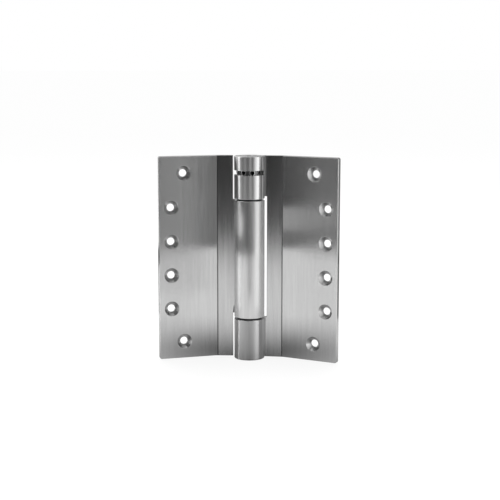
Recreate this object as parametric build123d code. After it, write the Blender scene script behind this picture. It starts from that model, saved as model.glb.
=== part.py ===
# Self-closing gate hinge: two cast steel leaves on one barrel, with a torsion spring inside.
# Millimetres. +Z is up along the barrel axis, and the origin is on that axis at the barrel's lower end.
# The post leaf reaches to -X with its front face square to -Y, where the screw heads and the barrel are.
# The gate leaf is the same plate mirrored, and stands swung forward from flat by rest_opening.

import os
from math import cos, radians, sin, tan

from build123d import *

os.makedirs("parts", exist_ok=True)

# Leaves
leaf_height = 152.4
leaf_thickness = 4.0
plate_width = 44.8
strip_reach = 24.1
strip_setback = 4.0
bend_angle = 18.5
crease_width = 0.5
corner_radius = 1.5
edge_break = 0.4
rest_opening = 43.0

# Screw holes, countersunk from the front for 82 degree heads
hole_radius = 2.8
sink_radius = 5.6
sink_angle = 82.0
column_inset = 9.5
column_pitch = 25.4
column_holes = 4
end_inset = 19.0
end_margin = 12.7

# Barrel
barrel_radius = 11.3
barrel_wall = 2.5
bottom_knuckle = 30.4
top_knuckle = 31.5
knuckle_gap = 1.2
knuckle_chamfer = 0.3
window_gap = 1.25
window_relief = 1.3
run_out_width = 2.2
run_out_height = 6.0
run_out_depth = 2.8
run_out_lean = 0.7

# Tension slot in the top knuckle, measured in plan on the gate leaf while it lies flat
slot_depth_below_top = 12.1
slot_width = 3.5
slot_rest_angle = 175.7
slot_sweep = 185.5

# Tension ring, its stop pin and the clip that holds it on the spindle
ring_height = 8.0
ring_running = 0.08
ring_holes = 8
ring_hole_radius = 1.7
stop_pin_radius = 1.6
stop_pin_recess = 0.8
clip_thickness = 1.0
clip_width = 1.9
clip_groove_depth = 0.9
clip_opening = 70.0
spindle_tail = 0.8
cap_space = 0.45

# Spindle, pivot pin and bushes
shaft_radius = 5.5
flat_depth = 1.2
spindle_collar = 8.0
bush_length = 10.0
ring_washer_thickness = 1.2
thrust_washer_lap = 0.4
pivot_lead = 0.8

# Torsion spring, its anchor and the rod that guides it
wire_width = 2.4
coil_side_gap = 0.5
coil_pitch = 2.9
coil_facets = 12
coil_end_gap = 0.3
tang_length = 4.0
guide_gap = 0.9
guide_spigot_radius = 3.0
guide_spigot = 4.0
anchor_height = 9.0
anchor_drop = 1.6

# Caps and dowels
bottom_cap_height = 5.0
socket_across_flats = 5.0
socket_depth = 3.0
cap_chamfer = 0.6
dowel_radius = 1.5
dowel_bite = 3.5
dowel_recess = 0.3
dowel_angle = 90.0

# Clearances: pieces fixed in each other, shafts that turn, and faces that slide past each other
seat = 0.02
running = 0.05
slide = 0.05
loose = 0.15

# Radii that follow from the barrel
bore_radius = barrel_radius - barrel_wall
coil_outer_radius = bore_radius - coil_side_gap
coil_radius = coil_outer_radius - wire_width / 2
guide_radius = coil_outer_radius - wire_width - guide_gap
insert_radius = bore_radius - seat
ring_radius = bore_radius - ring_running
thrust_washer_radius = bore_radius + thrust_washer_lap
past = 2 * barrel_radius

# Levels along the barrel
centre_bottom = bottom_knuckle + knuckle_gap
top_bottom = leaf_height - top_knuckle
centre_top = top_bottom - knuckle_gap
slot_level = leaf_height - slot_depth_below_top
ring_bottom = slot_level - ring_height / 2
ring_top = slot_level + ring_height / 2
clip_bottom = ring_top + slide
clip_top = clip_bottom + clip_thickness
spindle_top = clip_top + spindle_tail
top_cap_bottom = spindle_top + cap_space
top_bush_top = ring_bottom - ring_washer_thickness - 2 * slide
centre_top_bush_bottom = centre_top - bush_length
collar_top = centre_top_bush_bottom - slide
collar_bottom = collar_top - spindle_collar
bottom_bush_bottom = bottom_knuckle - bush_length
pivot_head_top = bottom_bush_bottom - slide
centre_bottom_bush_top = centre_bottom + bush_length
pivot_top = centre_bottom_bush_top + pivot_lead
anchor_bottom = pivot_top + anchor_drop
anchor_top = anchor_bottom + anchor_height
coil_bottom = anchor_top + coil_end_gap
coil_top = collar_bottom - coil_end_gap
guide_top = collar_bottom - coil_end_gap
anchor_dowel_level = anchor_bottom + anchor_height / 2
pivot_dowel_level = (bottom_cap_height + pivot_head_top) / 2

# Plan sizes worked out from the ones above
bend = radians(bend_angle)
fold_x = strip_reach * cos(bend) - strip_setback * sin(bend)
front_y = strip_reach * sin(bend) + strip_setback * cos(bend)
outer_x = fold_x + plate_width
sink_depth = (sink_radius - hole_radius) / tan(radians(sink_angle / 2))
strip_edge = barrel_radius + window_gap
ring_phase = slot_rest_angle - rest_opening
coil_rise = coil_top - coil_bottom - wire_width
coil_turns = int(coil_rise / coil_pitch) + 0.5
coil_end_angle = (coil_turns * 360) % 360


def on_gate_leaf(shape):
    """A shape drawn with the gate leaf flat, swung to where the leaf stands."""
    return Rot(0, 0, -rest_opening) * shape


def strip_point(along, behind):
    """A plan point given along the inner strip and behind the axis."""
    return (along * cos(bend) - behind * sin(bend), along * sin(bend) + behind * cos(bend))


def round_bar(radius, bottom, top):
    """A plain cylinder on the barrel axis between two levels."""
    return Pos(0, 0, bottom) * Cylinder(radius, top - bottom, align=(Align.CENTER, Align.CENTER, Align.MIN))


def sleeve(outer, inner, bottom, top):
    """A tube on the barrel axis between two levels."""
    return round_bar(outer, bottom, top) - round_bar(inner, bottom, top)


def radial_bar(radius, inner, outer, angle, level):
    """A round bar that lies along a radius of the barrel at one level."""
    bar = Cylinder(radius, outer - inner, align=(Align.CENTER, Align.CENTER, Align.MIN))
    return Rot(0, 0, angle) * Pos(inner, 0, level) * Rot(0, 90, 0) * bar


def ends_of(shape, radius):
    """The round edges of one radius on a shape."""
    circles = shape.edges().filter_by(GeomType.CIRCLE)
    return circles.filter_by(lambda edge: abs(edge.radius - radius) < 1e-4)


def crease():
    """The fine groove along the fold on the front face."""
    side = crease_width / 2**0.5
    bar = Box(side, side, leaf_height + 2, align=(Align.CENTER, Align.CENTER, Align.MIN))
    return Pos(fold_x, front_y, -1) * Rot(0, 0, bend_angle / 2 + 45) * bar


def leaf_blank():
    """The bent plate before it is cut: an inner strip, a sharp fold and the outer plate."""
    back_fold = strip_point(strip_reach + leaf_thickness * tan(bend / 2), strip_setback + leaf_thickness)
    outline = Polyline(
        strip_point(0, strip_setback),
        (fold_x, front_y),
        (outer_x, front_y),
        (outer_x, front_y + leaf_thickness),
        back_fold,
        strip_point(0, strip_setback + leaf_thickness),
        close=True,
    )
    blank = extrude(make_face(outline), leaf_height)
    outer = blank.faces().sort_by(Axis.X)[-1]
    corners = outer.edges().filter_by(Axis.Y)
    blank = fillet(corners, corner_radius)
    rims = blank.faces().filter_by(Plane.XZ).edges()
    rims = rims.filter_by(lambda edge: edge.center().X > fold_x + leaf_thickness)
    return chamfer(rims, edge_break) - crease()


def window(bottom, top):
    """The space cut in a strip for the other leaf's knuckle."""
    width = past + strip_edge
    box = Box(width, 2 * past, top - bottom, align=(Align.MAX, Align.CENTER, Align.MIN))
    return Rot(0, 0, bend_angle) * Pos(strip_edge, 0, bottom) * box


def run_out(level):
    """The blind tapered cut left in the strip beside the knuckle, above a window's corner."""
    inner = strip_edge - run_out_width
    tip = (strip_edge - run_out_lean, level + run_out_height)
    outline = Polyline((inner, level), (strip_edge, level), tip, (inner, tip[1]), close=True)
    wedge = extrude(Plane.XZ * make_face(outline), run_out_depth + 1)
    return Rot(0, 0, bend_angle) * Pos(0, strip_setback + run_out_depth, 0) * wedge


def knuckle(bottom, top):
    """One length of barrel with its outer ends chamfered."""
    tube = round_bar(barrel_radius, bottom, top)
    return chamfer(ends_of(tube, barrel_radius), knuckle_chamfer)


def screw_places():
    """Centres of the screw holes: how far in from the outer edge, and the level."""
    middle = leaf_height / 2
    column = [middle + column_pitch * (i - (column_holes - 1) / 2) for i in range(column_holes)]
    ends = [end_margin, leaf_height - end_margin]
    return [(column_inset, z) for z in column] + [(end_inset, z) for z in ends]


def screw_hole():
    """A through hole with its countersink, drilled along +Z from the front face at zero."""
    sink = Cone(sink_radius, hole_radius, sink_depth, align=(Align.CENTER, Align.CENTER, Align.MIN))
    lead = Cylinder(sink_radius, 1, align=(Align.CENTER, Align.CENTER, Align.MAX))
    shank = Cylinder(hole_radius, 2 * leaf_thickness, align=(Align.CENTER, Align.CENTER, Align.MIN))
    return sink + lead + shank


def leaf(windows, knuckles):
    """A leaf that reaches to +X and lies flat, with the given windows and knuckles."""
    body = leaf_blank()
    for bottom, top in windows:
        body -= window(bottom, top)
    for bottom, top in knuckles:
        body += knuckle(bottom, top)
    body -= round_bar(bore_radius, -1, leaf_height + 1)
    for inset, level in screw_places():
        body -= Pos(outer_x - inset, front_y, level) * Rot(-90, 0, 0) * screw_hole()
    return body


def tension_slot():
    """The arc slot through the top knuckle's wall, with round ends."""
    depth = barrel_radius - bore_radius + 2
    middle = (barrel_radius + bore_radius) / 2
    band = Plane.XZ * Pos(middle, slot_level) * Rectangle(depth, slot_width)
    slot = Rot(0, 0, slot_rest_angle) * revolve(band, Axis.Z, slot_sweep)
    for angle in (slot_rest_angle, slot_rest_angle + slot_sweep):
        slot += radial_bar(slot_width / 2, middle - depth / 2, middle + depth / 2, angle, slot_level)
    return slot


def dowel(level):
    """A dowel through the back of the barrel wall, flush with it outside."""
    inner = bore_radius - dowel_bite
    outer = barrel_radius - dowel_recess
    return radial_bar(dowel_radius, inner, outer, dowel_angle, level)


def dowel_hole(level):
    """The hole that a dowel is driven into."""
    return radial_bar(dowel_radius + seat, bore_radius - dowel_bite, past, dowel_angle, level)


def post_leaf():
    """The leaf with the long centre knuckle, which reaches to -X."""
    own = [(centre_bottom, centre_top)]
    window_top = centre_bottom + window_relief
    cut = [(-1, window_top), (centre_top, leaf_height + 1)]
    body = leaf(cut, own) - run_out(window_top)
    return mirror(body, Plane.YZ) - dowel_hole(anchor_dowel_level)


def gate_leaf():
    """The leaf with the two end knuckles and the tension slot."""
    own = [(0, bottom_knuckle), (top_bottom, leaf_height)]
    cut = [(bottom_knuckle, top_bottom + window_relief)]
    body = leaf(cut, own) - tension_slot() - dowel_hole(pivot_dowel_level)
    return on_gate_leaf(body)


def flatted(radius, bottom, top):
    """A round bar with two flats that drives the tension ring."""
    bar = round_bar(radius, bottom, top)
    across = 2 * (radius - flat_depth)
    box = Box(across, past, top - bottom, align=(Align.CENTER, Align.CENTER, Align.MIN))
    return bar & Pos(0, 0, bottom) * box


def tension_ring():
    """The ring behind the slot, with radial holes for a tommy bar."""
    ring = round_bar(ring_radius, ring_bottom, ring_top)
    ring -= flatted(shaft_radius + seat, ring_bottom - 1, ring_top + 1)
    for i in range(ring_holes):
        ring -= radial_bar(ring_hole_radius, 0, past, i * 360 / ring_holes, slot_level)
    return Rot(0, 0, ring_phase) * ring


def stop_pin():
    """The pin in one ring hole that bears on the end of the slot."""
    inner = shaft_radius + loose
    outer = barrel_radius - stop_pin_recess
    return radial_bar(stop_pin_radius, inner, outer, ring_phase, slot_level)


def tang_pocket(angle, bottom, top):
    """A square hole along Z that takes one end of the spring wire."""
    size = wire_width + 2 * loose
    box = Box(size, size, top - bottom, align=(Align.CENTER, Align.CENTER, Align.MIN))
    return Rot(0, 0, angle) * Pos(coil_radius, 0, bottom) * box


def tension_spindle():
    """The shaft from the ring down to the spring: flats, a clip groove, a journal and a collar."""
    spindle = round_bar(shaft_radius, collar_top, ring_bottom)
    spindle += Rot(0, 0, ring_phase) * flatted(shaft_radius, ring_bottom, spindle_top)
    spindle += round_bar(coil_outer_radius, collar_bottom, collar_top)
    groove = sleeve(shaft_radius + 1, shaft_radius - clip_groove_depth, clip_bottom, clip_top)
    pocket = tang_pocket(coil_end_angle, collar_bottom - 1, collar_bottom + tang_length + loose)
    return spindle - groove - pocket


def spindle_clip():
    """A spring clip in the spindle's groove, open at one side."""
    inner = shaft_radius - clip_groove_depth + seat
    clip = sleeve(shaft_radius + clip_width, inner, clip_bottom + seat, clip_top - seat)
    face = Plane.XZ * Pos(shaft_radius, clip_bottom) * Rectangle(shaft_radius * 2, 4 * clip_thickness)
    return Rot(0, 0, ring_phase) * (clip - revolve(face, Axis.Z, clip_opening))


def coil_corners(turned, risen):
    """The four corners of the wire's square section, that far round and up from where the coil starts."""
    half = wire_width / 2
    angle = radians(turned)
    level = coil_bottom + half + risen
    corners = []
    for out, up in ((-half, -half), (half, -half), (half, half), (-half, half)):
        reach = coil_radius + out
        corners.append(Vector(reach * cos(angle), reach * sin(angle), level + up))
    return corners


def flat_face(*points):
    """A flat face with straight edges."""
    return Face(Wire.make_polygon(points, close=True))


def coil():
    """Square wire wound in a helix of short runs, whose sides are all flat."""
    runs = round(coil_turns * coil_facets)
    rings = [coil_corners(360 * i / coil_facets, coil_rise * i / runs) for i in range(runs + 1)]
    faces = [flat_face(*rings[0]), flat_face(*rings[-1])]
    for near, far in zip(rings, rings[1:]):
        faces.append(flat_face(near[0], near[3], far[3], far[0]))
        faces.append(flat_face(near[1], near[2], far[2], far[1]))
        for a, b in ((0, 1), (3, 2)):
            faces.append(flat_face(near[a], near[b], far[b]))
            faces.append(flat_face(near[a], far[b], far[a]))
    return Solid(Shell(faces))


def torsion_spring():
    """The coil, with both of its ends turned along the axis."""
    width = wire_width - 2 * seat
    length = tang_length + wire_width
    tang = Box(width, width, length - seat, align=(Align.CENTER, Align.CENTER, Align.MIN))
    spring = coil() + Pos(coil_radius, 0, coil_bottom - tang_length) * tang
    return spring + Rot(0, 0, coil_end_angle) * Pos(coil_radius, 0, coil_top - wire_width + seat) * tang


def spring_anchor():
    """The plug that holds the spring's lower end in the centre knuckle."""
    plug = round_bar(insert_radius, anchor_bottom, anchor_top)
    plug -= round_bar(guide_spigot_radius + seat, anchor_top - guide_spigot, anchor_top + 1)
    plug -= dowel_hole(anchor_dowel_level)
    return plug - tang_pocket(0, anchor_top - tang_length - loose, anchor_top + 1)


def spring_guide():
    """The rod inside the coil, with a spigot that stands in the anchor."""
    rod = round_bar(guide_radius, anchor_top, guide_top)
    return rod + round_bar(guide_spigot_radius, anchor_top - guide_spigot + loose, anchor_top)


def pivot_pin():
    """The lower hinge pin: a head fixed in the bottom knuckle and a journal up into the centre one."""
    pin = round_bar(shaft_radius, pivot_head_top, pivot_top)
    pin += round_bar(insert_radius, bottom_cap_height, pivot_head_top)
    return on_gate_leaf(pin - dowel_hole(pivot_dowel_level))


def cap(bottom, top, outside):
    """A plug for one end of the barrel, chamfered on its outer face."""
    plug = round_bar(insert_radius, bottom, top)
    rim = plug.edges().filter_by(GeomType.CIRCLE).sort_by(Axis.Z)[outside]
    return chamfer(rim, cap_chamfer)


def top_cap():
    """The top cap, with a hexagon socket."""
    plug = cap(top_cap_bottom, leaf_height, -1)
    key = extrude(RegularPolygon(socket_across_flats / 2, 6, major_radius=False), socket_depth)
    return plug - Pos(0, 0, leaf_height - socket_depth) * key


def bottom_cap():
    """The plain cap under the pivot pin."""
    return cap(0, bottom_cap_height, 0)


PARTS = {
    "post_leaf": post_leaf(),
    "gate_leaf": gate_leaf(),
    "top_cap": top_cap(),
    "bottom_cap": bottom_cap(),
    "tension_ring": tension_ring(),
    "stop_pin": stop_pin(),
    "tension_spindle": tension_spindle(),
    "spindle_clip": spindle_clip(),
    "ring_washer": sleeve(insert_radius, shaft_radius + running, top_bush_top + slide, ring_bottom - slide),
    "top_bush": sleeve(insert_radius, shaft_radius + running, top_bottom, top_bush_top),
    "upper_thrust_washer": sleeve(
        thrust_washer_radius, shaft_radius + running, centre_top, top_bottom - slide
    ),
    "centre_top_bush": sleeve(insert_radius, shaft_radius + running, centre_top_bush_bottom, centre_top),
    "torsion_spring": torsion_spring(),
    "spring_guide": spring_guide(),
    "spring_anchor": spring_anchor(),
    "anchor_dowel": dowel(anchor_dowel_level),
    "centre_bottom_bush": sleeve(
        insert_radius, shaft_radius + running, centre_bottom, centre_bottom_bush_top
    ),
    "lower_thrust_washer": sleeve(
        thrust_washer_radius, shaft_radius + running, bottom_knuckle, centre_bottom - slide
    ),
    "bottom_bush": sleeve(insert_radius, shaft_radius + seat, bottom_bush_bottom, bottom_knuckle),
    "pivot_pin": pivot_pin(),
    "pivot_dowel": on_gate_leaf(dowel(pivot_dowel_level)),
}

for node, shape in PARTS.items():
    export_step(shape, f"parts/{node}.step")
    print(node, round(shape.volume, 1))
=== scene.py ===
# %% [markdown]
# # A self-closing gate hinge in brushed stainless steel
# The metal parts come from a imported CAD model, so their shapes are already right. This script gives them their
# finish, adds the small details that a CAD model leaves out, and sets up a plain photo studio round them. Metal
# shows mostly what it reflects, so half of the work is the finish and the other half is the room.

# %% Load the frame
from math import cos, pi, radians, sin

import bmesh
import bpy
from mathutils import Euler, Matrix, Vector

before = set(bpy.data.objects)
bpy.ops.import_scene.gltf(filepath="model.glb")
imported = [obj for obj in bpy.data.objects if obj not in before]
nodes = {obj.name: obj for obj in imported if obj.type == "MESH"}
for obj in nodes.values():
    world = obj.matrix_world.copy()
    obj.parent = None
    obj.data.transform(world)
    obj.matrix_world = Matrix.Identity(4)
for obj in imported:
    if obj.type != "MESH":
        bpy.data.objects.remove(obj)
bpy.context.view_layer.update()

mm = 0.001

# %% [markdown]
# ## The camera
# The photo was measured first: screw holes, edges and the barrel's outline gave the camera's place, its heading and
# its lens by least squares. The fit was made without lens shift, so that the camera looks straight at the hinge and
# the same camera frames it well from any other side.

# %% Camera
frame_pixels = 500
focal_pixels = 1181.59
distance = 871.66 * mm
camera_height = 220.74 * mm
camera_turn = -16.036
heading = 16.064
pitch_down = 9.040
roll = 0.026

camera_data = bpy.data.cameras.new("camera")
camera_data.sensor_width = 36
camera_data.lens = focal_pixels / frame_pixels * camera_data.sensor_width
camera_data.clip_start = 0.01
camera = bpy.data.objects.new("camera", camera_data)
bpy.context.scene.collection.objects.link(camera)
turned = radians(camera_turn)
camera.location = (distance * sin(turned), -distance * cos(turned), camera_height)
aim = Euler((radians(90 - pitch_down), 0, radians(-heading))).to_matrix()
camera.rotation_euler = (aim @ Matrix.Rotation(radians(roll), 3, "Z")).to_euler()
bpy.context.scene.camera = camera
print("lens", round(camera_data.lens, 2), "mm, camera stands", camera_turn, "degrees round")

# %% [markdown]
# ## Small node helpers
# Each material is a little network of nodes. A few helpers keep the cells short. One adds a node and fills in its
# sockets, two do sums, one makes an empty material, and one starts a node group with named sockets.

# %% Node helpers
def add(tree, kind, values=None, **settings):
    """A node of one kind, with its settings and with socket values or links by socket name or number."""
    node = tree.nodes.new(kind)
    for name, value in settings.items():
        setattr(node, name, value)
    for socket, value in (values or {}).items():
        if isinstance(value, bpy.types.NodeSocket):
            tree.links.new(value, node.inputs[socket])
        else:
            node.inputs[socket].default_value = value
    return node


def math_of(tree, operation, *values):
    """The result socket of one Math node."""
    return add(tree, "ShaderNodeMath", dict(enumerate(values)), operation=operation).outputs[0]


def ramp_of(tree, value, low, high, start=0.0, end=1.0):
    """A smooth step from start to end while the value goes from low to high."""
    keys = {"Value": value, "From Min": low, "From Max": high, "To Min": start, "To Max": end}
    return add(tree, "ShaderNodeMapRange", keys, interpolation_type="SMOOTHSTEP").outputs[0]


def new_material(name):
    """An empty node material and its tree."""
    material = bpy.data.materials.new(name)
    material.use_nodes = True
    material.node_tree.nodes.clear()
    return material, material.node_tree


def new_group(name, inputs, outputs):
    """A shader node group with named float or vector sockets, and its two end nodes."""
    group = bpy.data.node_groups.new(name, "ShaderNodeTree")
    for direction, sockets in (("INPUT", inputs), ("OUTPUT", outputs)):
        for socket, kind in sockets.items():
            group.interface.new_socket(socket, in_out=direction, socket_type="NodeSocket" + kind)
    return group, group.nodes.new("NodeGroupInput"), group.nodes.new("NodeGroupOutput")


print("helpers ready")

# %% [markdown]
# ## Brushed grain
# Satin stainless steel is rubbed with an abrasive belt in one direction, here along the barrel. That leaves long
# fine scratches. A noise texture stretched along Z gives them in three sizes: hairlines too fine to see one by one,
# the single scratches, and bands from the uneven pressure of the belt. Both leaves need it, so it is a node group.

# %% Brushed grain group
grain_group, ends_in, ends_out = new_group(
    "brushed grain",
    {"Vector": "Vector", "Fineness": "Float", "Length": "Float"},
    {"Hairlines": "Float", "Scratches": "Float", "Bands": "Float", "Blotches": "Float"},
)
squeeze = math_of(grain_group, "DIVIDE", 1.0, ends_in.outputs["Length"])
stretch = add(grain_group, "ShaderNodeCombineXYZ", {"X": 1.0, "Y": 1.0, "Z": squeeze})
drawn = add(grain_group, "ShaderNodeVectorMath", {0: ends_in.outputs["Vector"], 1: stretch.outputs[0]},
            operation="MULTIPLY")
for name, fineness_share, detail in (("Hairlines", 9.0, 0.0), ("Scratches", 0.9, 2.0), ("Bands", 0.22, 2.0)):
    scale = math_of(grain_group, "MULTIPLY", ends_in.outputs["Fineness"], fineness_share)
    noise = add(grain_group, "ShaderNodeTexNoise", {"Vector": drawn.outputs[0], "Scale": scale, "Detail": detail})
    grain_group.links.new(noise.outputs["Fac"], ends_out.inputs[name])
blotch = add(grain_group, "ShaderNodeTexNoise", {"Vector": ends_in.outputs["Vector"], "Scale": 28.0, "Detail": 2.0})
grain_group.links.new(blotch.outputs["Fac"], ends_out.inputs["Blotches"])
print("group:", grain_group.name)

# %% [markdown]
# ## Softened edges
# No machined edge is perfectly sharp. The Bevel node bends the shading normal near an edge, so that a thin line of
# light runs along it, and the angle between the bent and the true normal tells where the edges are. The materials use
# that mask to paint the edges a little brighter, which is a painted highlight.

# %% Softened edge group
edge_group, ends_in, ends_out = new_group(
    "softened edge", {"Radius": "Float"}, {"Edge": "Float", "Normal": "Vector"})
bent = add(edge_group, "ShaderNodeBevel", {"Radius": ends_in.outputs["Radius"]}, samples=6)
true = add(edge_group, "ShaderNodeNewGeometry")
match = add(edge_group, "ShaderNodeVectorMath", {0: bent.outputs[0], 1: true.outputs["Normal"]},
            operation="DOT_PRODUCT")
edge_group.links.new(ramp_of(edge_group, match.outputs["Value"], 0.995, 0.9), ends_out.inputs["Edge"])
edge_group.links.new(bent.outputs[0], ends_out.inputs["Normal"])
print("group:", edge_group.name)

# %% [markdown]
# ## Masks on the leaves
# The barrel is polished more than the plates, and the narrow strips beside it are rubbed less evenly, because a belt
# can't reach into the corner. Along the fold the steel is painted darker, a painted shade in the crease. All of these
# places are known distances from an upright line, so one helper measures that distance in plan and turns it into a
# mask. It adds plain nodes to each material and no group, because these masks also steer the Tangent, while the
# groups here feed only colour, roughness and relief.

# %% Mask helpers
def near_line(tree, place, line, inner, outer):
    """One close to an upright line and nought away from it."""
    offset = add(tree, "ShaderNodeVectorMath", {0: place, 1: (line[0], line[1], 0)}, operation="SUBTRACT")
    flat = add(tree, "ShaderNodeVectorMath", {0: offset.outputs[0], 1: (1, 1, 0)}, operation="MULTIPLY")
    away = add(tree, "ShaderNodeVectorMath", {0: flat.outputs[0]}, operation="LENGTH")
    return ramp_of(tree, away.outputs["Value"], inner, outer, 1.0, 0.0)


def product_of(tree, first, *others):
    """The product of several values."""
    for other in others:
        first = math_of(tree, "MULTIPLY", first, other)
    return first


def dimmed(tree, value, mask, share):
    """A value that loses a share of itself where the mask is one."""
    return math_of(tree, "MULTIPLY", value, math_of(tree, "MULTIPLY_ADD", mask, -share, 1.0))


print("mask helpers ready")

# %% [markdown]
# ## Where things lie on the leaves
# Each leaf is one casting whose plate is bent back from the strip beside the barrel, and the gate leaf stands open.
# The fold line and the direction into the plate are those of the CAD model, turned with each leaf. The blind cut is a
# small notch in the post leaf's strip, and its inner faces are painted almost black, a painted shade in the recess.

# %% Places on the leaves
rest_opening = 43.0
bend = 18.5
thickness = 4 * mm
fold_line = Vector((21.585 * mm, 11.44 * mm, 0))
plate_front = fold_line.y
plate_back = plate_front + thickness
strip_front = 4 * mm
strip_back = strip_front + thickness
gate_swing = Matrix.Rotation(radians(-rest_opening), 3, "Z")
post_fold = Vector((-fold_line.x, fold_line.y, 0))
gate_fold = gate_swing @ fold_line
post_inward = Vector((0, 1, 0))
gate_inward = gate_swing @ post_inward
strip_inward = Matrix.Rotation(radians(-bend), 3, "Z") @ post_inward
cut_line = (-11 * mm, 9.2 * mm)
cut_bottom = 31 * mm
cut_top = 42 * mm


def depth_along(tree, place, direction):
    """How far a point lies along a direction."""
    return add(tree, "ShaderNodeVectorMath", {0: place, 1: direction}, operation="DOT_PRODUCT").outputs["Value"]


def in_blind_cut(tree, place):
    """One on the inner faces of the blind cut in the post leaf's strip."""
    beside = near_line(tree, place, cut_line, 2.8 * mm, 3.4 * mm)
    level = add(tree, "ShaderNodeSeparateXYZ", {0: place}).outputs["Z"]
    behind = depth_along(tree, place, strip_inward)
    return product_of(
        tree, beside,
        ramp_of(tree, behind, strip_front + 0.02 * mm, strip_front + 0.2 * mm),
        ramp_of(tree, behind, strip_back - 0.2 * mm, strip_back - 0.4 * mm),
        ramp_of(tree, level, cut_bottom, cut_bottom + 1 * mm), ramp_of(tree, level, cut_top, cut_top - 1 * mm))


print("gate leaf's fold at", [round(side / mm, 1) for side in gate_fold], "mm")

# %% [markdown]
# ## Which way the grain runs
# A real brushed plate blurs its reflections across the grain far more than along it. The Principled shader does that
# with Anisotropic and a Tangent, which lies level in each face here, square to the upright grain. The end knuckles,
# which were turned, and the two strips, which were rubbed by hand, blur the other way, and the sinks blur along their
# own axis. So the tangent starts level and is pulled over where a mask says so. On a leaf's top and bottom ends the
# level direction vanishes, and there a tiny step sideways stands in for it.

# %% Grain direction
sideways = (0.004, 0.001, 0)
pull = 30.0


def grain_direction(tree, turned, drilled, inward):
    """A tangent that lies level, stands upright where turned is one and points inward where drilled is one."""
    normal = add(tree, "ShaderNodeNewGeometry").outputs["Normal"]
    level = add(tree, "ShaderNodeVectorMath", {0: (0, 0, 1), 1: normal}, operation="CROSS_PRODUCT")
    tangent = add(tree, "ShaderNodeVectorMath", {0: level.outputs[0], 1: sideways}, operation="ADD")
    for axis, mask in (((0, 0, 1), turned), (inward, drilled)):
        strength = math_of(tree, "MULTIPLY", mask, pull)
        other_way = add(tree, "ShaderNodeVectorMath", {0: axis, "Scale": strength}, operation="SCALE")
        tangent = add(tree, "ShaderNodeVectorMath", {0: tangent.outputs[0], 1: other_way.outputs[0]}, operation="ADD")
    return tangent.outputs[0]


print("grain helper ready")

# %% [markdown]
# ## Brushed steel
# The finish of a leaf is a base roughness that each place makes smoother or rougher, and a grey tone with scratches,
# bands and blotches in it. The tone also carries painted light: a painted highlight along the edges, and painted
# shade in the fold, in the sinks and in the blind cut. On the outer half of the plates' fronts the hairlines help
# through a Bump node: their walls tip the surface to the left and right but never up or down, so that light from the
# sides spreads while level edges in the reflection stay crisp.

# %% Brushed steel maker
leaf_tone = (0.56, 0.56, 0.56)
plate_roughness = 0.24
middle_polish = 0.10
strip_polish = 0.02
sink_polish = 0.09


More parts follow.
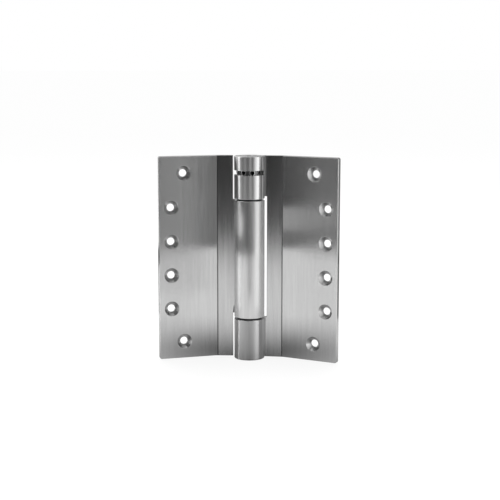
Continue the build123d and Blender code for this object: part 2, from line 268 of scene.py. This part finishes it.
def brushed_steel(name, fold, inward, barrel_roughness, barrel_turned, paints_cut_shade=False):
    """Brushed steel for one leaf: its own finish on the strip, in the sinks and on the barrel, painted shade in the
    fold, in the sinks and, if asked, in the blind cut, and painted highlights along the edges.
    """
    material, tree = new_material(name)
    place = add(tree, "ShaderNodeTexCoord").outputs["Object"]
    grain = add(tree, "ShaderNodeGroup", node_tree=grain_group)
    tree.links.new(place, grain.inputs["Vector"])
    grain.inputs["Fineness"].default_value = 1500
    grain.inputs["Length"].default_value = 30
    scratches = grain.outputs["Scratches"]
    edge = add(tree, "ShaderNodeGroup", node_tree=edge_group)
    edge.inputs["Radius"].default_value = 0.35 * mm

    on_barrel = near_line(tree, place, (0, 0), 11.5 * mm, 12.4 * mm)
    inside_fold = near_line(tree, place, (0, 0), 23.5 * mm, 25.0 * mm)
    on_strip = math_of(tree, "SUBTRACT", inside_fold, on_barrel)
    fold_shade_mask = near_line(tree, place, fold, 0.25 * mm, 0.6 * mm)
    near_middle = near_line(tree, place, (0, 0), 24 * mm, 58 * mm)
    depth = depth_along(tree, place, inward)
    in_sink = product_of(
        tree, ramp_of(tree, depth, plate_front + 0.05 * mm, plate_front + 0.2 * mm),
        ramp_of(tree, depth, plate_back - 0.1 * mm, plate_back - 0.3 * mm),
        math_of(tree, "SUBTRACT", 1.0, inside_fold))
    on_back = ramp_of(tree, depth, plate_back - 0.2 * mm, plate_back - 0.05 * mm)

    rough = math_of(tree, "MULTIPLY_ADD", near_middle, -middle_polish, plate_roughness)
    rough = math_of(tree, "MULTIPLY_ADD", on_strip, -strip_polish, rough)
    rough = math_of(tree, "MULTIPLY_ADD", in_sink, -sink_polish, rough)
    rough = math_of(tree, "MULTIPLY_ADD", on_barrel, barrel_roughness + middle_polish - plate_roughness, rough)
    rough = math_of(tree, "MULTIPLY_ADD", scratches, 0.04, rough)

    lines = math_of(tree, "MULTIPLY_ADD", scratches, 0.2, 0.9)
    band_depth = math_of(tree, "MULTIPLY_ADD", inside_fold, 0.17, 0.08)
    bands = math_of(tree, "SUBTRACT", grain.outputs["Bands"], 0.5)
    bands = math_of(tree, "MULTIPLY_ADD", bands, band_depth, 1.0)
    blotches = math_of(tree, "MULTIPLY_ADD", grain.outputs["Blotches"], 0.08, 0.96)
    # Painted highlight: the edges are painted brighter where the edge mask is one.
    grain_and_painted_light = math_of(tree, "MULTIPLY_ADD", edge.outputs["Edge"], 0.12, product_of(tree, lines, bands, blotches))
    # Painted shade: the crease of the fold is painted darker.
    grain_and_painted_light = dimmed(tree, grain_and_painted_light, fold_shade_mask, 0.65)
    # Painted shade: the sinks are painted a little darker.
    grain_and_painted_light = dimmed(tree, grain_and_painted_light, in_sink, 0.2)
    if paints_cut_shade:
        # Painted shade: the inner faces of the blind cut are painted almost black.
        grain_and_painted_light = dimmed(tree, grain_and_painted_light, in_blind_cut(tree, place), 0.92)
    colour = add(tree, "ShaderNodeVectorMath", {0: leaf_tone, "Scale": grain_and_painted_light}, operation="SCALE")

    calm = math_of(tree, "MAXIMUM", inside_fold, in_sink)
    calm = math_of(tree, "MAXIMUM", calm, on_back)
    calm = math_of(tree, "MAXIMUM", calm, near_middle)
    height = dimmed(tree, grain.outputs["Hairlines"], calm, 0.9)
    bump = add(tree, "ShaderNodeBump", {"Strength": 1.0, "Distance": 0.03 * mm, "Height": height,
                                        "Normal": edge.outputs["Normal"]})
    turned = math_of(tree, "MULTIPLY_ADD", on_barrel, barrel_turned, on_strip)
    steel = add(tree, "ShaderNodeBsdfPrincipled", {
        "Base Color": colour.outputs[0], "Metallic": 1.0, "Roughness": rough, "Anisotropic": 1.0,
        "Normal": bump.outputs[0], "Tangent": grain_direction(tree, turned, in_sink, inward)})
    add(tree, "ShaderNodeOutputMaterial", {"Surface": steel.outputs[0]})
    return material


print("steel maker ready")

# %% [markdown]
# ## Dressing the leaves
# The gate leaf carries the two end knuckles, which were turned, and the post leaf the long centre knuckle, which was
# rubbed upright like its plate and came out a little glossier. So each leaf gets a steel of its own.

# %% Leaves
def dress(material, *names):
    """Gives a material to CAD nodes."""
    for name in names:
        nodes[name].data.materials.clear()
        nodes[name].data.materials.append(material)


gate_steel = brushed_steel("brushed gate leaf steel", gate_fold, gate_inward, 0.27, 1.0)
post_steel = brushed_steel("brushed post leaf steel", post_fold, post_inward, 0.22, 0.0, paints_cut_shade=True)
dress(gate_steel, "gate_leaf")
dress(post_steel, "post_leaf")
print("leaves:", gate_steel.name, "and", post_steel.name)

# %% [markdown]
# ## Worn holes of the tension ring
# The ring is blackened, and a steel bar is pushed into its holes to wind the spring. That rubs the edges of the holes
# bare. Unrolling the ring's surface makes the eight holes lie in a row, and the distance from the nearest one gives
# the mask.

# %% Worn hole group
wear_group, ends_in, ends_out = new_group("worn holes", {"Vector": "Vector"}, {"Bare": "Float"})
ring_radius = 8.72 * mm
ring_level = 140.3 * mm
first_hole = 132.7
half_step = 180 / 8
phased = add(wear_group, "ShaderNodeMapping", {
    "Vector": ends_in.outputs["Vector"], "Location": (0, 0, -ring_level), "Rotation": (0, 0, radians(-first_hole))})
parts = add(wear_group, "ShaderNodeSeparateXYZ", {0: phased.outputs[0]})
round_ring = math_of(wear_group, "ARCTAN2", parts.outputs["Y"], parts.outputs["X"])
round_hole = math_of(wear_group, "WRAP", round_ring, radians(half_step), radians(-half_step))
along = math_of(wear_group, "MULTIPLY", round_hole, ring_radius)
unrolled = add(wear_group, "ShaderNodeCombineXYZ", {"X": along, "Y": parts.outputs["Z"]})
reach = add(wear_group, "ShaderNodeVectorMath", {0: unrolled.outputs[0]}, operation="LENGTH")
rim = ramp_of(wear_group, reach.outputs["Value"], 2.15 * mm, 1.95 * mm)
wear_group.links.new(rim, ends_out.inputs["Bare"])
print("group:", wear_group.name)

# %% [markdown]
# ## Turned steel, bronze and plastic
# The caps, pins and washers are turned on a lathe, so their grain runs round the barrel. Turning marks are thin rings
# along the axis. The bushes are sintered bronze, open and slightly grainy, and the spring guide and the washer under
# the ring are moulded plastic.

# %% Turned metal maker
bare_tone = (0.62, 0.62, 0.62)


def turned_metal(name, tone, roughness, ring_scale, speckle, worn_holes=False):
    """Metal with fine lathe rings, and pores where speckle is more than nought."""
    material, tree = new_material(name)
    place = add(tree, "ShaderNodeTexCoord").outputs["Object"]
    squash = add(tree, "ShaderNodeVectorMath", {0: place, 1: (0.15, 0.15, 1)}, operation="MULTIPLY")
    rings = add(tree, "ShaderNodeTexNoise", {"Vector": squash.outputs[0], "Scale": ring_scale, "Detail": 3.0})
    pores = add(tree, "ShaderNodeTexNoise", {"Vector": place, "Scale": 2600.0, "Detail": 2.0})
    edge = add(tree, "ShaderNodeGroup", node_tree=edge_group)
    edge.inputs["Radius"].default_value = 0.2 * mm
    rough = math_of(tree, "MULTIPLY_ADD", rings.outputs["Fac"], 0.14, roughness - 0.07)
    lines = math_of(tree, "MULTIPLY_ADD", rings.outputs["Fac"], 0.2, 0.9)
    shade = dimmed(tree, lines, pores.outputs["Fac"], speckle)
    # Painted highlight: the edges are painted a little brighter.
    grain_and_painted_light = math_of(tree, "MULTIPLY_ADD", edge.outputs["Edge"], 0.1, shade)
    colour = add(tree, "ShaderNodeVectorMath", {0: tone, "Scale": grain_and_painted_light}, operation="SCALE")
    if worn_holes:
        bare = add(tree, "ShaderNodeGroup", node_tree=wear_group)
        tree.links.new(place, bare.inputs["Vector"])
        rims = add(tree, "ShaderNodeVectorMath", {0: bare_tone, "Scale": bare.outputs["Bare"]}, operation="SCALE")
        colour = add(tree, "ShaderNodeVectorMath", {0: colour.outputs[0], 1: rims.outputs[0]}, operation="MAXIMUM")
    bump = add(tree, "ShaderNodeBump", {"Strength": 0.3, "Distance": 0.02 * mm, "Height": rings.outputs["Fac"],
                                        "Normal": edge.outputs["Normal"]})
    metal = add(tree, "ShaderNodeBsdfPrincipled", {
        "Base Color": colour.outputs[0], "Metallic": 1.0, "Roughness": rough, "Normal": bump.outputs[0]})
    add(tree, "ShaderNodeOutputMaterial", {"Surface": metal.outputs[0]})
    return material


def moulded_plastic(name, tone):
    """Dark moulded plastic with a faint orange-peel surface."""
    material, tree = new_material(name)
    place = add(tree, "ShaderNodeTexCoord").outputs["Object"]
    peel = add(tree, "ShaderNodeTexNoise", {"Vector": place, "Scale": 900.0, "Detail": 2.0})
    shade = math_of(tree, "MULTIPLY_ADD", peel.outputs["Fac"], 0.3, 0.85)
    colour = add(tree, "ShaderNodeVectorMath", {0: tone, "Scale": shade}, operation="SCALE")
    bump = add(tree, "ShaderNodeBump", {"Strength": 0.3, "Distance": 0.03 * mm, "Height": peel.outputs["Fac"]})
    rough = math_of(tree, "MULTIPLY_ADD", peel.outputs["Fac"], 0.2, 0.4)
    plastic = add(tree, "ShaderNodeBsdfPrincipled", {
        "Base Color": colour.outputs[0], "Roughness": rough, "Normal": bump.outputs[0]})
    add(tree, "ShaderNodeOutputMaterial", {"Surface": plastic.outputs[0]})
    return material


dress(turned_metal("turned cap steel", (0.62, 0.62, 0.62), 0.26, 1800, 0.0), "top_cap", "bottom_cap")
dress(turned_metal("ground pin steel", (0.5, 0.5, 0.51), 0.3, 1500, 0.05), "stop_pin", "spring_anchor",
      "anchor_dowel", "pivot_pin", "pivot_dowel")
dress(turned_metal("black oxide steel", (0.05, 0.05, 0.052), 0.36, 1500, 0.1), "tension_spindle",
      "upper_thrust_washer", "lower_thrust_washer")
dress(turned_metal("blackened ring steel", (0.16, 0.16, 0.163), 0.34, 1500, 0.1, worn_holes=True), "tension_ring")
dress(turned_metal("dark spring steel", (0.2, 0.2, 0.21), 0.38, 700, 0.3), "torsion_spring", "spindle_clip")
dress(turned_metal("oiled bronze", (0.55, 0.36, 0.17), 0.36, 1200, 0.45), "top_bush", "centre_top_bush",
      "centre_bottom_bush", "bottom_bush")
dress(moulded_plastic("moulded plastic", (0.03, 0.03, 0.032)), "ring_washer", "spring_guide")
print("materials:", len(bpy.data.materials))

# %% [markdown]
# ## The floor and the white background
# The hinge stands on a white floor in front of white nothing. To the camera and in reflections the floor glows white
# by itself and takes only a small part from the lamps, which is what keeps a soft shadow under the hinge. The Light
# Path node tells these rays from the ones that carry light about, and for those the floor is plain matt white.

# %% Floor
shadow_share = 0.15
floor_size = 30.0
floor_drop = 0.05 * mm


def seen_ray(tree):
    """One for rays that show the background to the camera, in metal or through glass."""
    ray = add(tree, "ShaderNodeLightPath")
    seen = math_of(tree, "MAXIMUM", ray.outputs["Is Camera Ray"], ray.outputs["Is Glossy Ray"])
    return math_of(tree, "MAXIMUM", seen, ray.outputs["Is Transmission Ray"])


def stage_piece(name, mesh, material):
    """Puts a piece of the studio in the scene with its material."""
    piece = bpy.data.objects.new(name, mesh)
    bpy.context.scene.collection.objects.link(piece)
    mesh.materials.append(material)
    return piece


def make_floor():
    """A wide white floor just under the hinge."""
    mesh = bpy.data.meshes.new("floor")
    build = bmesh.new()
    bmesh.ops.create_grid(build, x_segments=1, y_segments=1, size=floor_size)
    bmesh.ops.translate(build, vec=(0, 0, -floor_drop), verts=build.verts)
    build.to_mesh(mesh)
    build.free()
    material, tree = new_material("white floor")
    glow = add(tree, "ShaderNodeEmission", {"Color": (1, 1, 1, 1), "Strength": 1.0})
    matt = add(tree, "ShaderNodeBsdfDiffuse", {"Color": (0.92, 0.92, 0.92, 1)})
    lit = math_of(tree, "MULTIPLY_ADD", seen_ray(tree), shadow_share - 1.0, 1.0)
    both = add(tree, "ShaderNodeMixShader", {"Fac": lit, 1: glow.outputs[0], 2: matt.outputs[0]})
    add(tree, "ShaderNodeOutputMaterial", {"Surface": both.outputs[0]})
    stage_piece("floor", mesh, material)


make_floor()
print("floor laid")

# %% [markdown]
# ## The air of the studio
# Behind the floor the world is white too, at a strength of one, so that no edge shows where the floor ends.

# %% World
world = bpy.data.worlds.new("studio air")
world.use_nodes = True
bpy.context.scene.world = world
air = world.node_tree
air.nodes.clear()
white = add(air, "ShaderNodeBackground", {"Color": (1, 1, 1, 1), "Strength": 1.0})
add(air, "ShaderNodeOutputWorld", {"Surface": white.outputs[0]})
print("white background ready")

# %% [markdown]
# ## The light tent
# A photographer shapes a metal object with what stands round it: bright boxes give it highlights and black card
# gives it dark halves. Here a round tent stands close to the hinge. It shows only in reflections, so it never hides
# the hinge from a camera. Its brightness changes with the angle, counted from the photo's camera to its right: two
# softboxes stand a little behind the hinge on the left and on the right, and black card faces it from the front.
# The tent hangs above the floor in front, which lets the lower half of the hinge reflect the white floor, and there
# only the stand below the camera shows as a dim streak. A card with a dark hem hangs in front of the left softbox,
# and another dark hem runs round the sides and the back.

# %% Light tent
tent_reach = 200 * mm
tent_top = 500 * mm
hem = 50 * mm
hem_band = 9 * mm
left_card_bottom = hem + 16 * mm
left_card_top = hem + 38 * mm
card_gap = 4 * mm
stand_reach = 250 * mm
wall_step = 4
full_strength = 4.0


def tent_glow(name, stops):
    """Light whose strength follows the angle, blended between the given angles."""
    material, tree = new_material(name)
    place = add(tree, "ShaderNodeTexCoord").outputs["Object"]
    turned = add(tree, "ShaderNodeMapping", {"Vector": place, "Rotation": (0, 0, radians(90 - camera_turn))})
    parts = add(tree, "ShaderNodeSeparateXYZ", {0: turned.outputs[0]})
    angle = math_of(tree, "ARCTAN2", parts.outputs["Y"], parts.outputs["X"])
    share = math_of(tree, "MULTIPLY_ADD", angle, 1 / (2 * pi), 0.5)
    ramp = add(tree, "ShaderNodeValToRGB", {"Fac": share})
    ramp.color_ramp.elements.remove(ramp.color_ramp.elements[0])
    for i, (degrees_right, strength) in enumerate(stops):
        where = degrees_right / 360 + 0.5
        stop = ramp.color_ramp.elements[0] if i == 0 else ramp.color_ramp.elements.new(where)
        stop.position = where
        grey = strength / full_strength
        stop.color = (grey, grey, grey, 1)
    glow = add(tree, "ShaderNodeEmission", {"Color": ramp.outputs[0], "Strength": full_strength})
    add(tree, "ShaderNodeOutputMaterial", {"Surface": glow.outputs[0]})
    return material


def only_in_reflections(piece):
    """Hides a piece from everything but shiny surfaces."""
    piece.visible_camera = False
    piece.visible_diffuse = False
    piece.visible_shadow = False


def tent_wall(name, start, end, reach, bottom, top, stops):
    """An upright arc of the tent."""
    mesh = bpy.data.meshes.new(name)
    build = bmesh.new()
    angle = radians(-90 + camera_turn + start)
    low = build.verts.new((reach * cos(angle), reach * sin(angle), bottom))
    high = build.verts.new((reach * cos(angle), reach * sin(angle), top))
    side = build.edges.new((low, high))
    bmesh.ops.spin(build, geom=[low, high, side], cent=(0, 0, 0), axis=(0, 0, 1), dvec=(0, 0, 0),
                   angle=radians(end - start), steps=round((end - start) / wall_step),
                   use_merge=end - start == 360, use_duplicate=False)
    build.to_mesh(mesh)
    build.free()
    only_in_reflections(stage_piece(name, mesh, tent_glow(name, stops)))


tent_wall("upper tent", -180, 180, tent_reach, hem, tent_top, (
    (-180, 0.5), (-150, 0.9), (-130, 1.6), (-115, 2.6), (-84, 2.6), (-76, 0.4), (-60, 0.08), (-48, 0.05),
    (-34, 0.28), (-22, 0.12), (-12, 0.03), (-4, 0.1), (3, 0.4), (12, 0.42), (19, 0.1), (28, 0.1), (37, 0.6),
    (48, 1.2), (62, 2.0), (78, 2.0), (90, 1.1), (110, 0.2), (140, 0.3), (180, 0.5)))
tent_wall("lower tent", 45, 280, tent_reach, 0, hem, (
    (-180, 0.15), (-140, 0.15), (-122, 0.2), (-110, 1.4), (-104, 5.0), (-87, 5.0), (-80, 1.6), (45, 1.3), (60, 1.9),
    (78, 1.3), (100, 0.4), (130, 0.15), (180, 0.15)))
tent_wall("stand below the camera", -9, 19, stand_reach, 0, hem, (
    (-9, 0.95), (-5, 0.4), (4, 0.3), (11, 0.5), (19, 0.95)))
tent_wall("left card", -128, -40, tent_reach - card_gap, left_card_bottom, left_card_top, (
    (-128, 1.7), (-120, 2.2), (-112, 2.2), (-100, 1.7), (-84, 1.2), (-66, 1.3), (-60, 1.1), (-51, 0.6), (-40, 0.3)))
tent_wall("left hem", -128, -40, tent_reach - 2 * card_gap, hem, left_card_bottom, ((-128, 0.25), (-40, 0.25)))
tent_wall("dark hem", 100, 385, tent_reach - card_gap, hem, hem + hem_band, ((-180, 0.12), (180, 0.12)))
print("tent up")

# %% [markdown]
# ## The shadow on the floor
# Close to the hinge the leaves shade the floor, and their lowest part reflects that shade. The floor above glows too
# evenly for it, so a round sheet lies on it that is dark near the hinge and white at its rim. It shows only in
# reflections as well.

# %% Shade sheet
sheet_drop = 0.03 * mm


def shade_sheet(radius, dark, strength):
    """A flat disc that is darker towards the middle."""
    mesh = bpy.data.meshes.new("shade sheet")
    build = bmesh.new()
    bmesh.ops.create_circle(build, cap_ends=True, segments=48, radius=radius)
    bmesh.ops.translate(build, vec=(0, 0, -sheet_drop), verts=build.verts)
    build.to_mesh(mesh)
    build.free()
    material, tree = new_material("shade sheet")
    place = add(tree, "ShaderNodeTexCoord").outputs["Object"]
    reach = add(tree, "ShaderNodeVectorMath", {0: place}, operation="LENGTH")
    bright = ramp_of(tree, reach.outputs["Value"], 0.0, radius, dark, strength)
    glow = add(tree, "ShaderNodeEmission", {"Color": (1, 1, 1, 1), "Strength": bright})
    add(tree, "ShaderNodeOutputMaterial", {"Surface": glow.outputs[0]})
    only_in_reflections(stage_piece("shade sheet", mesh, material))


shade_sheet(120 * mm, 0.15, 0.95)
print("shade sheet laid")

# %% [markdown]
# ## The lamp
# One large soft lamp above and behind gives the shadow on the floor its direction. It isn't seen in the metal, which
# has the tent for that.

# %% Lamp
def lamp(name, place, target, size, power):
    """A square soft lamp that points at a spot."""
    data = bpy.data.lights.new(name, "AREA")
    data.shape = "SQUARE"
    data.size = size
    data.energy = power
    light = bpy.data.objects.new(name, data)
    bpy.context.scene.collection.objects.link(light)
    light.location = place
    light.rotation_euler = (Vector(target) - Vector(place)).to_track_quat("-Z", "Y").to_euler()
    light.visible_camera = False
    light.visible_glossy = False


lamp("soft lamp", place=(0.1, 0.5, 1.15), target=(0, 0, 0.05), size=0.8, power=14.0)
print("lamp on")

# %% [markdown]
# ## How the picture is developed
# The Standard view shows a colour about as it is written, which a plain product picture needs.

# %% View settings
bpy.context.scene.view_settings.view_transform = "Standard"
print("view:", bpy.context.scene.view_settings.view_transform)

# %% [markdown]
# ## Finish

# %% Finish
print("finished")
